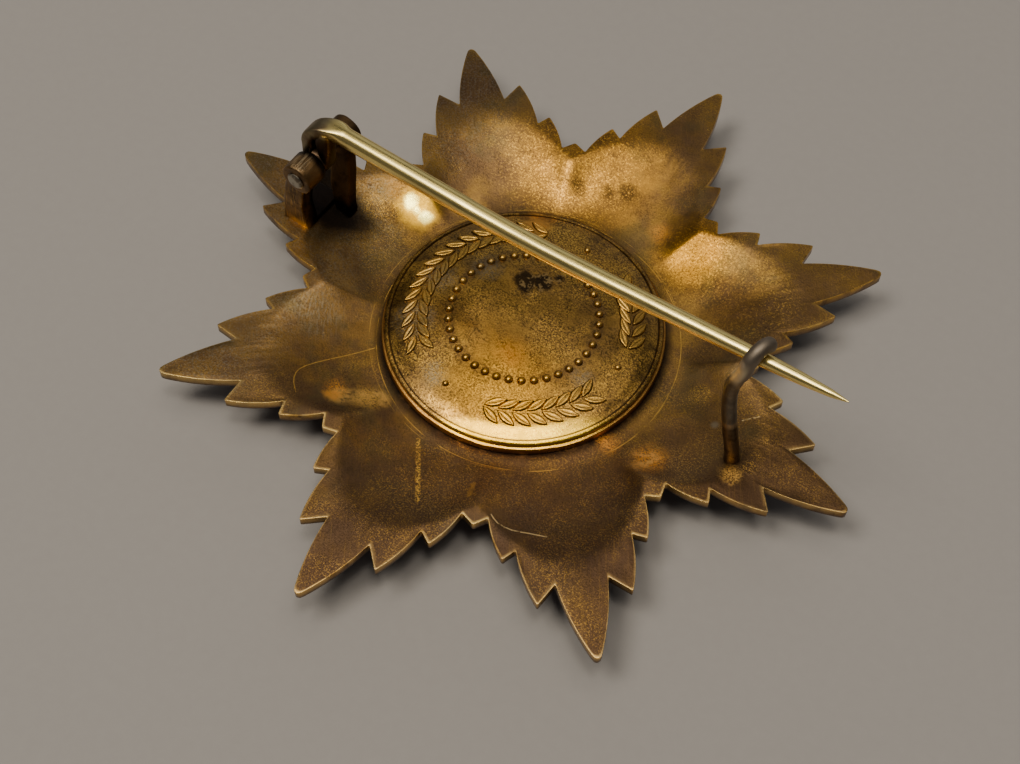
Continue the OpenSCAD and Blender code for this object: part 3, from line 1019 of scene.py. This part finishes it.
# Stained places: centre and radius
STAINED = [((-5.8, 18.0), 1.4), ((-3.1, 19.5), 1.2), ((-1.3, 20.6), 1.5)]
# Dull and dark places with the same values: dirt, painted shade at the catch's foot, and the last
# three, round the hinge, painted shadow of the hinge
DIRT_AND_SHADOWS = [
    ((21.5, 1.4), 0.6, 0.5, 0.5, PALE_GREY, 0.5),
    ((25.0, 2.2), 1.5, 1.2, 0.8, OLIVE, 0.5),
    ((25.0, -1.3), 1.5, 1.0, 0.5, UMBER, 0.7),
    ((-24.6, -0.2), 4.6, 3.0, 1.6, SOOT, 0.96),
    ((-21.4, 0.6), 2.6, 2.2, 1.8, SOOT, 0.8),
    ((-27.8, 2.0), 2.4, 1.2, 0.8, SOOT, 0.95),
]
# Wide tints where the highlights fall, painted highlight colour, and painted shade round them:
# centre, radius, soft edge and colour
TINTED = [
    ((8.8, 17.6), 6.5, 5.0, (0.98, 0.82, 0.30)),
    ((-6.0, 20.5), 11.0, 6.0, (1.04, 0.93, 0.60)),
    ((15.6, 14.6), 4.8, 3.6, (0.66, 0.62, 0.70)),
    ((-18.6, 6.0), 4.6, 2.6, (0.90, 0.80, 0.50)),
]
# The double glint by the hinge, a painted highlight on a smoother patch: centre, radius, soft edge
# and ragged edge
GLINT = [
    ((-19.1, 5.7), 1.15, 0.9, 1.8), ((-17.2, 5.5), 1.1, 0.9, 1.8), ((-18.2, 5.4), 0.8, 0.7, 1.2),
]


def tarnish_star(f, near):
    """The star's brown and gold patches and specks, with painted shade towards the near arms and
    +X. Gives the masks that change its roughness and height."""
    f.layer(GOLD, 0.36, f.patches(70, 0.44, 0.62, 5))
    f.layer(PURPLE_BROWN, 0.6, f.patches(120, 0.47, 0.62, 7, 40))
    f.layer(OLIVE, 0.65, f.patches(160, 0.50, 0.64, 6, 100))
    # Painted shade with patchy tarnish: darker towards the near arms and towards +X
    f.layer(DULL_BROWN, 0.78, f.ramp(near, 4, 21), f.patches(85, 0.28, 0.54))
    f.layer(BROWN, 0.6, f.ramp(f.x, 12, 24), f.patches(110, 0.34, 0.58))
    blotch = f.patches(460, 0.46, 0.62, 9)
    f.layer(BROWN, 0.55, blotch)
    dark = f.both(f.speckle(5200, 0.49, 0.60), f.patches(240, 0.30, 0.58))
    f.layer(UMBER, 0.55, dark)
    bright = f.both(f.speckle(6300, 0.52, 0.60), f.patches(140, 0.42, 0.62, 5))
    f.layer(BRIGHT_GOLD, 0.36, bright)
    lines = f.brushed(300, 6500, 0.52, 0.72, 56)
    f.layer(BRIGHT_GOLD, 0.09, lines)
    glow = f.either(f.spot((9.5, 16.8), 6.6, 5.0, 2.0), f.spot((-8.0, 20.0), 10.5, 6.0, 3.0))
    f.layer(OLD_GOLD, 0.55, glow, f.patches(900, 0.46, 0.58, 5))
    f.layer(BROWN, 0.65, glow, f.speckle(3900, 0.50, 0.60))
    f.layer(BRIGHT_GOLD, 0.6, glow, f.speckle(4400, 0.54, 0.62))
    f.layer(PALE_GREY, 0.30, f.ramp(f.x, -15, -21), f.speckle(4300, 0.50, 0.60))
    f.layer(BRIGHT_GOLD, 0.35, f.spot((17.0, 15.5), 7.0, 4.0, 2.0), f.speckle(4100, 0.54, 0.61))
    f.layer(UMBER, 0.35, f.brushed(500, 4200, 0.56, 0.70, 20), f.patches(90, 0.5, 0.6, 3))
    return blotch, dark, bright, lines


def scribe_star(f, near):
    """Dirt and painted shade round the plate's seat, scribed circles round it, and the scratches.
    """
    from_plate = f.vectors("LENGTH", f.vectors("SUBTRACT", f.flat, metres(PLATE_X, 0)))
    seat = f.outside(f.ramp(from_plate, FLANGE_R + 0.1, FLANGE_R + 1.2))
    # Dirt and painted shade round the plate's seat, stronger towards the near side
    f.layer(SOOT, 0.92, seat, f.ramp(near, -12, 4, 0.35), f.patches(300, 0.22, 0.5))
    f.layer(BRIGHT_GOLD, 0.7, f.circle((0.45, -0.35), 15.5, 0.06))
    f.layer(BRIGHT_GOLD, 0.45, f.circle((0.2, -0.2), 15.9, 0.05, 50))
    for marks, width, colour, strength in (
        (CURVED_SCRATCH, 0.07, BRIGHT_GOLD, 0.6), (BRIGHT_SCRATCH, 0.09, RUBBED, 0.9),
    ):
        line = smooth_route([Vector((x, y, 0)) for x, y in marks], 2)
        for start, end in zip(line, line[1:]):
            f.layer(colour, strength, f.scratch(start, end, width))
    for start, end in zip(FLECK_LINE, FLECK_LINE[1:]):
        f.layer(BRIGHT_GOLD, 0.9, f.scratch(start, end, 0.34), f.speckle(5600, 0.47, 0.53))


def wear_dirt_and_painted_light(f):
    """Bright places, partly rubbed gilt and partly painted highlight, stains, and dirt with
    painted shade and shadow. Gives the mask of the bright places.
    """
    flecks = f.speckle(5600, 0.42, 0.54)
    shining = []
    # Bright places, partly rubbed gilt and partly painted highlight
    for *spot, colour, strength in GLOWING:
        shining.append(f.spot(*spot))
        f.layer(colour, strength, shining[-1], flecks)
    # More bright places, partly rubbed gilt and partly painted highlight
    for colour, strength, mark, patches in (
        ((1.0, 0.58, 0.15), 0.6, f.scratch((-10.3, -17.6), (-7.3, -15.2), 1.5), (500, 0.34, 0.56)),
        (AMBER_GOLD, 0.8, f.spot((-10.9, -18.0), 1.2, 0.9, 1.0), (600, 0.36, 0.50)),
        ((1.0, 0.55, 0.15), 0.7, f.spot((18.0, -5.8), 1.9, 1.4, 1.2), (600, 0.40, 0.54)),
        (GOLD, 0.5, f.scratch((6.1, -17.6), (6.7, -19.2), 0.32), (800, 0.36, 0.52)),
    ):
        f.layer(colour, strength, mark, f.patches(*patches, 5))
    sparse = f.speckle(8200, 0.54, 0.60)
    for centre, radius in SPARKLING:
        f.layer(BRIGHT_GOLD, 0.7, f.spot(centre, radius, 0.7, 0.8), sparse)
    f.layer(
        PALE_GREY, 0.35, f.spot((-18.0, -11.2), 3.6, 2.8, 2.4),
        f.brushed(900, 5200, 0.46, 0.58, 56),
    )
    # Dirt, painted shade at the catch's foot and painted shadow round the hinge
    for *spot, colour, strength in DIRT_AND_SHADOWS:
        f.layer(colour, strength, f.spot(*spot))
    f.layer(RUBBED, 0.7, f.scratch((23.6, 3.0), (24.8, 4.1), 0.1))
    for centre, radius in STAINED:
        f.layer(UMBER, 0.85, f.spot(centre, radius, 1.0, 1.2), f.speckle(5000, 0.64, 0.48))
    return f.either(*shining)


def colour_rim(f, near):
    """The edge's upright wall, darkened as painted shade, and the worn line along its top,
    brighter on the near side as a painted highlight. Gives the line's mask.
    """
    rim = f.attribute("rim")
    # Painted shade on the edge's upright wall
    f.layer((0.085, 0.048, 0.034), 0.9, f.attribute("wall"))
    f.layer(BRIGHT_GOLD, 0.6, rim, f.patches(700, 0.34, 0.58, 5))
    # Painted highlight: the line brighter along the near arms
    f.layer((1.0, 0.72, 0.28), 0.6, rim, f.ramp(near, -6, 10), f.patches(260, 0.36, 0.50, 5))
    return rim


def tint_star(f, near):
    """Wide tints, painted light and shade on the arms, and the glint with its halo, a painted
    highlight with painted shade round it. Gives the glint's mask.
    """
    # Painted shade round the glint, so that its core stands out
    f.layer(BROWN, 0.5, f.spot((-18.4, 6.4), 5.2, 4.0, 2.0))
    # Painted highlight colour at the highlights, and painted shade round them
    for *spot, colour in TINTED:
        f.tint(colour, f.spot(*spot))
    out = f.vectors("LENGTH", f.flat)
    # Painted light and shade on the arms: the near arms lighter at their roots and darker at their
    # ends, and the arm ends towards -X darker and cooler
    near_arms = f.ramp(near, 8, 16)
    f.tint((1.30, 1.22, 1.15), near_arms, f.ramp(out, 24.0, 20.5))
    f.tint((0.84, 0.80, 0.80), near_arms, f.ramp(out, 22.5, 26.5))
    f.tint((0.80, 0.82, 0.90), f.ramp(f.x, -17, -21), f.ramp(out, 25, 29))
    # Painted highlight: the glint's yellow halo and its bright core
    f.layer((1.0, 0.56, 0.03), 0.75, f.spot((-18.1, 5.6), 2.9, 2.2, 2.2))
    glint_and_polish = f.either(*(f.spot(*spot) for spot in GLINT))
    f.layer((1.0, 0.86, 0.24), 1.0, glint_and_polish)
    return glint_and_polish


def gilt_star():
    f = Finish("gilt_bronze_star", OLD_GOLD)
    near = f.towards(NEAR)
    blotch, dark, bright, lines = tarnish_star(f, near)
    scribe_star(f, near)
    shining = wear_dirt_and_painted_light(f)
    rim = colour_rim(f, near)
    glint_and_polish = tint_star(f, near)
    rough = f.total(
        0.35, (blotch, 0.08), (dark, 0.10), (rim, -0.08), (bright, -0.08), (glint_and_polish, -0.19),
        (shining, 0.12),
    )
    grain = f.speckle(5200, 0.25, 0.75)
    height = f.total(f.noise(f.place, 260, 5), (grain, 0.20), (lines, 0.08))
    return f.done(rough, height=height, strength=0.25, depth=0.13)


# Pale places on the plate, in millimetres from the star's middle: centre and radius
PALE_PLACES = [
    ((-9.5, -6.5), 3.0), ((-10.5, -1.0), 2.6), ((-7.0, 2.6), 2.2), ((-4.0, -10.4), 2.0),
    ((8.2, -2.4), 1.8),
]
# The black smudge: centre, radius, soft edge and ragged edge
SMUDGE = [((-2.7, 3.4), 1.9, 0.9, 1.9), ((-1.3, 4.4), 1.7, 0.9, 1.9), ((-0.2, 5.8), 1.1, 1.0, 1.6)]


def tarnish_plate(f):
    f.layer(OLD_GOLD, 0.6, f.patches(110, 0.40, 0.62))
    f.layer(BROWN, 0.35, f.patches(380, 0.46, 0.62, 8))
    shade = f.either(f.spot((3.2, 2.4), 9.0, 7.0, 3.5), f.patches(130, 0.42, 0.6, 5, 70))
    f.layer(BROWN, 0.40, shade)
    f.layer(OLIVE, 0.5, f.spot((-8.6, 4.2), 6.0, 5.0, 3.0))
    f.layer(UMBER, 0.72, f.speckle(4800, 0.48, 0.55), f.patches(190, 0.26, 0.5, 5))
    f.layer(BRIGHT_GOLD, 0.7, f.speckle(5600, 0.51, 0.57), f.patches(170, 0.38, 0.58, 5))
    for centre, radius in PALE_PLACES:
        f.layer(PALE_GREY, 0.5, f.spot(centre, radius, 1.8, 2.2), f.speckle(4600, 0.40, 0.56))
    f.layer(ORANGE_GOLD, 0.7, f.spot((-6.4, 11.2), 2.4, 1.8, 1.6))
    f.layer(ORANGE_GOLD, 0.3, f.spot((1.2, -4.4), 2.4, 2.2, 2.0))


def relief_dirt_and_shade(f, middle, r, on_face):
    """Dirt and painted shade round each bead and at the foot of the beads and leaves."""
    axes = f.node("ShaderNodeSeparateXYZ", {"Vector": middle}).outputs
    around = f.both(f.maths("ARCTAN2", axes["Y"], axes["X"]), BEAD_COUNT / tau)
    around = f.maths("SUBTRACT", f.maths("FRACT", f.maths("ADD", around, 0.5)), 0.5)
    arc = f.both(around, tau * BEAD_RING_R / BEAD_COUNT * MM)
    radial = f.maths("SUBTRACT", r, BEAD_RING_R * MM)
    away = f.vectors("LENGTH", f.node("ShaderNodeCombineXYZ", {"X": arc, "Y": radial}).outputs[0])
    # Dirt and painted shade in a ring round each bead
    f.layer(UMBER, 0.85, f.outside(f.ramp(away, BEAD_D / 2, BEAD_D / 2 + 0.1)), on_face)
    halo = f.outside(f.ramp(f.maths("ABSOLUTE", radial), 0.3, 1.0))
    f.layer(BROWN, 0.4, halo, on_face, f.patches(500, 0.35, 0.6, 5))
    f.layer(BRIGHT_GOLD, 0.35, f.attribute("raised"))
    # Painted shade with dirt on the low sides of the beads and leaves
    f.layer(SOOT, 0.8, f.attribute("low"))


def colour_border(f, middle, r, on_face):
    """The plate's border, groove and flange. Gives the mask of the bright crescent, a painted
    highlight on the border's near side.
    """
    border = f.both(f.ramp(r, BORDER_R + 0.1, BORDER_R + 0.5), on_face)
    crescent = f.both(border, f.ramp(f.towards((0.59, -0.81, 0.0), middle), 10.8, 12.6))
    f.layer(UMBER, 0.5, border, f.patches(520, 0.46, 0.60))
    # Painted highlight: the bright crescent on the border's near side, and a yellow tint round it
    f.layer((0.97, 0.60, 0.04), 0.9, crescent, f.patches(300, 0.74, 0.48, 5))
    f.tint((1.0, 0.90, 0.48), f.spot((2.5, -9.0), 8.0, 5.0))
    f.layer((0.52, 0.25, 0.06), 0.7, f.ramp(r, PLATE_R + 0.6, PLATE_R + 0.7))
    groove = f.outside(f.ramp(r, PLATE_R + 0.16, PLATE_R + 0.22))
    f.layer(UMBER, 0.75, f.ramp(r, PLATE_R, PLATE_R + 0.05), groove)
    return crescent


def gilt_plate():
    f = Finish("gilt_plate", GOLD)
    middle = f.vectors("SUBTRACT", f.flat, metres(PLATE_X, 0))
    r = f.vectors("LENGTH", middle)
    on_face = f.outside(f.attribute("raised"))
    tarnish_plate(f)
    relief_dirt_and_shade(f, middle, r, on_face)
    crescent = colour_border(f, middle, r, on_face)
    smudge = f.either(*(f.spot(*spot) for spot in SMUDGE))
    f.layer(SOOT, 0.93, smudge)
    f.layer((0.50, 0.33, 0.13), 0.5, smudge, f.patches(1700, 0.54, 0.62, 9))
    rough = f.total(
        0.29, (f.patches(420, 0.40, 0.65), 0.12), (smudge, 0.3), (crescent, -0.10)
    )
    grain = f.speckle(4800, 0.25, 0.75)
    height = f.total(
        f.noise(f.place, 700), (grain, 0.5), (f.both(smudge, grain), 2.0)
    )
    return f.done(rough, height=height, strength=0.25, depth=0.07)


def nickel_brass():
    f = Finish("nickel_brass_pin", (0.98, 0.77, 0.27))
    lines = f.brushed(60, 5200, 0.30, 0.70)
    f.layer((0.74, 0.58, 0.22), 0.5, lines)
    f.layer((0.42, 0.31, 0.14), 0.3, f.patches(200, 0.5, 0.7, 5))
    root = f.ramp(f.x, -22.8, -24.6)
    f.layer((0.19, 0.150, 0.095), 0.93, root)
    f.layer(PURPLE_BROWN, 0.6, root, f.patches(500, 0.42, 0.62))
    # Painted shade on the knuckle and the wedge under the bend, between the ears
    behind = f.ramp(f.x, -22.8, -23.3)
    knuckle = f.both(f.ramp(f.z, 18.2, 17.7), f.ramp(f.x, -25.8, -25.2), behind)
    f.layer(BROWN, 0.9, knuckle)
    f.layer((0.17, 0.110, 0.060), 0.7, knuckle, f.patches(420, 0.46, 0.64, 5))
    wedge = f.both(f.ramp(f.z, 18.6, 18.2), f.ramp(f.x, -25.4, -25.0), behind)
    f.layer((0.060, 0.038, 0.024), 0.85, wedge)
    rough = f.total(0.23, (lines, 0.10), (root, 0.12))
    return f.done(rough, height=lines, strength=0.2, depth=0.006)


def dark_bronze():
    f = Finish("dark_bronze_ears", (0.23, 0.135, 0.055))
    f.layer((0.13, 0.075, 0.032), 0.75, f.patches(380, 0.42, 0.60, 7))
    f.layer(UMBER, 0.6, f.patches(700, 0.50, 0.62, 5, 30))
    # Painted shade between the ears, on the foot plate and low down, and on the right ear's shaded
    # parts
    f.layer(SOOT, 0.97, f.ramp(f.y, -3.2, -2.5), f.ramp(f.y, -0.2, -1.2))
    f.layer(SOOT, 0.97, f.ramp(f.z, 7.0, 6.2), f.ramp(f.y, -3.7, -2.9))
    right = f.ramp(f.y, 0.1, 1.6)
    f.layer(UMBER, 0.6, right, f.ramp(f.x, -24.7, -23.5))
    f.layer(UMBER, 0.6, right, f.ramp(f.z, 12.0, 13.2))
    # File marks on the left ear's head, its worn flank, and a painted highlight along its foot
    files = f.both(
        f.spot((-25.2, -3.6, 16.0), 1.5, 0.9, 0.6), f.brushed(500, 9000, 0.40, 0.60, 90)
    )
    f.layer((0.50, 0.38, 0.23), 0.5, files)
    flank = f.both(f.ramp(f.y, -3.4, -3.9), f.ramp(f.z, 12.8, 11.2))
    f.layer(BRIGHT_GOLD, 0.45, flank, f.brushed(7000, 500, 0.52, 0.66))
    # Painted highlight along the left ear's foot
    low = f.ramp(f.z, 6.8, 5.6)
    f.layer(BRIGHT_GOLD, 0.9, low, f.ramp(f.y, -3.3, -3.9), f.ramp(f.x, -28.0, -26.2))
    height = f.maths("ADD", f.noise(f.place, 1100, 5), files)
    rough = f.total(0.36, (f.patches(600, 0.3, 0.7), 0.25))
    return f.done(rough, height=height, strength=0.4, depth=0.12)


def dark_wire():
    f = Finish("dark_catch_wire", (0.200, 0.172, 0.130))
    f.layer((0.080, 0.064, 0.046), 0.6, f.patches(420, 0.42, 0.62))
    top = f.ramp(f.z, 18.2, 20.0)
    f.layer((0.235, 0.190, 0.145), 0.8, top)
    foot = f.ramp(f.z, 11.8, 10.4)
    f.layer((0.135, 0.088, 0.045), 0.85, foot)
    f.layer(UMBER, 0.8, foot, f.patches(900, 0.50, 0.62, 5))
    f.layer((0.42, 0.30, 0.17), 0.6, f.ramp(f.z, 11.8, 11.4), f.ramp(f.z, 10.6, 11.2))
    # A painted highlight as a streak on the wire's left side, and a painted highlight as a pale
    # spot on the curl
    left_side = f.ramp(f.towards((-0.826, -0.563, 0.19)), -15.4, -14.7)
    f.layer((1.0, 0.86, 0.55), 0.85, f.ramp(f.z, 18.4, 20.0), f.ramp(f.z, 22.8, 21.0), left_side)
    f.layer((0.60, 0.52, 0.40), 0.8, f.spot((24.1, -2.0, 22.1), 0.6, 0.4, 0.3))
    rough = f.spread(f.noise(f.place, 500, 5), 0.3, 0.7, 0.38, 0.52)
    grain = f.noise(f.place, 1500, 5)
    return f.done(f.total(rough, (top, 0.10)), height=grain, strength=0.3, depth=0.06)


def grey_rivet():
    f = Finish("grey_rivet", (0.42, 0.38, 0.30))
    f.layer((0.12, 0.09, 0.06), 0.85, f.patches(900, 0.40, 0.56))
    # Painted shade on the rivet's middle and far head, between and behind the ears
    f.layer((0.16, 0.13, 0.10), 0.8, f.ramp(f.y, -1.0, 0.0))
    return f.done(0.42, height=f.noise(f.place, 1700), strength=0.5, depth=0.1)


def floor_paper():
    f = Finish("floor_paper", (0.31, 0.285, 0.268))
    f.layer((0.35, 0.325, 0.305), 0.6, f.noise(f.place, 900, 3))
    return f.done(0.9, metallic=0.0)


# Camera, floor and light

# The photograph's view: what it looks at and from where, in millimetres and degrees
LOOK_AT = Vector((2.784, -6.980, EDGE_Z))
CAMERA_DISTANCE = 170.99
CAMERA_AZIMUTH = 34.386
CAMERA_ELEVATION = 58.289
CAMERA_ROLL = 1.227
SENSOR = 36.0
LENS = 61.2
# Lamps, in metres and watts: name, place, width and depth, power and colour
WARM = (1.0, 0.94, 0.82)
COOL = (0.97, 0.98, 1.0)
LAMPS = [
    ("key", (-0.16, -0.21, 0.6), 0.24, 0.24, 2.0, WARM),
    ("overhead", (0.09, -0.08, 0.62), 0.12, 0.12, 0.7, WARM),
    ("soft_top", (0.0, 0.05, 0.9), 0.75, 0.6, 2.6, WARM),
    ("soft_back", (-0.25, 0.88, 0.46), 1.7, 0.6, 1.2, COOL),
]
ROOM_COLOUR = (0.80, 0.80, 0.82, 1)
ROOM_STRENGTH = 0.08
FLOOR_SIZE = 1.5


def aim(thing, direction, roll=0.0):
    thing.rotation_mode = "QUATERNION"
    thing.rotation_quaternion = (
        direction.to_track_quat("-Z", "Y") @ Quaternion(UP, radians(roll))
    )


def set_camera():
    a, e = radians(CAMERA_AZIMUTH), radians(CAMERA_ELEVATION)
    back = Vector((sin(a) * cos(e), -cos(a) * cos(e), sin(e)))
    data = bpy.data.cameras.new("camera")
    data.sensor_width = SENSOR
    data.lens = LENS
    data.clip_start = 0.01
    camera = add_object("camera", data)
    camera.location = (LOOK_AT + back * CAMERA_DISTANCE) * MM
    aim(camera, -back, CAMERA_ROLL)
    bpy.context.scene.camera = camera


def add_lamp(name, place, width, depth, power, colour):
    """A lamp that shines on the star's middle."""
    data = bpy.data.lights.new(name, "AREA")
    data.shape = "RECTANGLE"
    data.size = width
    data.size_y = depth
    data.energy = power
    data.color = colour
    lamp = add_object(name, data)
    lamp.location = place
    aim(lamp, -Vector(place))


def set_floor():
    bm = bmesh.new()
    bmesh.ops.create_grid(bm, x_segments=1, y_segments=1, size=FLOOR_SIZE)
    add_mesh("floor", bm, floor_paper())


def set_light():
    world = bpy.data.worlds.new("room")
    world.use_nodes = True
    sky = world.node_tree.nodes["Background"]
    sky.inputs["Color"].default_value = ROOM_COLOUR
    sky.inputs["Strength"].default_value = ROOM_STRENGTH
    bpy.context.scene.world = world
    for lamp in LAMPS:
        add_lamp(*lamp)


set_camera()
set_floor()
set_light()
build_star(gilt_star())
plate_finish = gilt_plate()
build_plate(plate_finish)
build_bead_ring(plate_finish)
build_leaf_band(plate_finish)
ear_finish = dark_bronze()
build_ear(1, LEFT_EAR, ear_finish)
build_ear(2, RIGHT_EAR, ear_finish)
build_foot(ear_finish)
build_catch(dark_wire())
build_rivet(grey_rivet())
build_pin(nickel_brass())
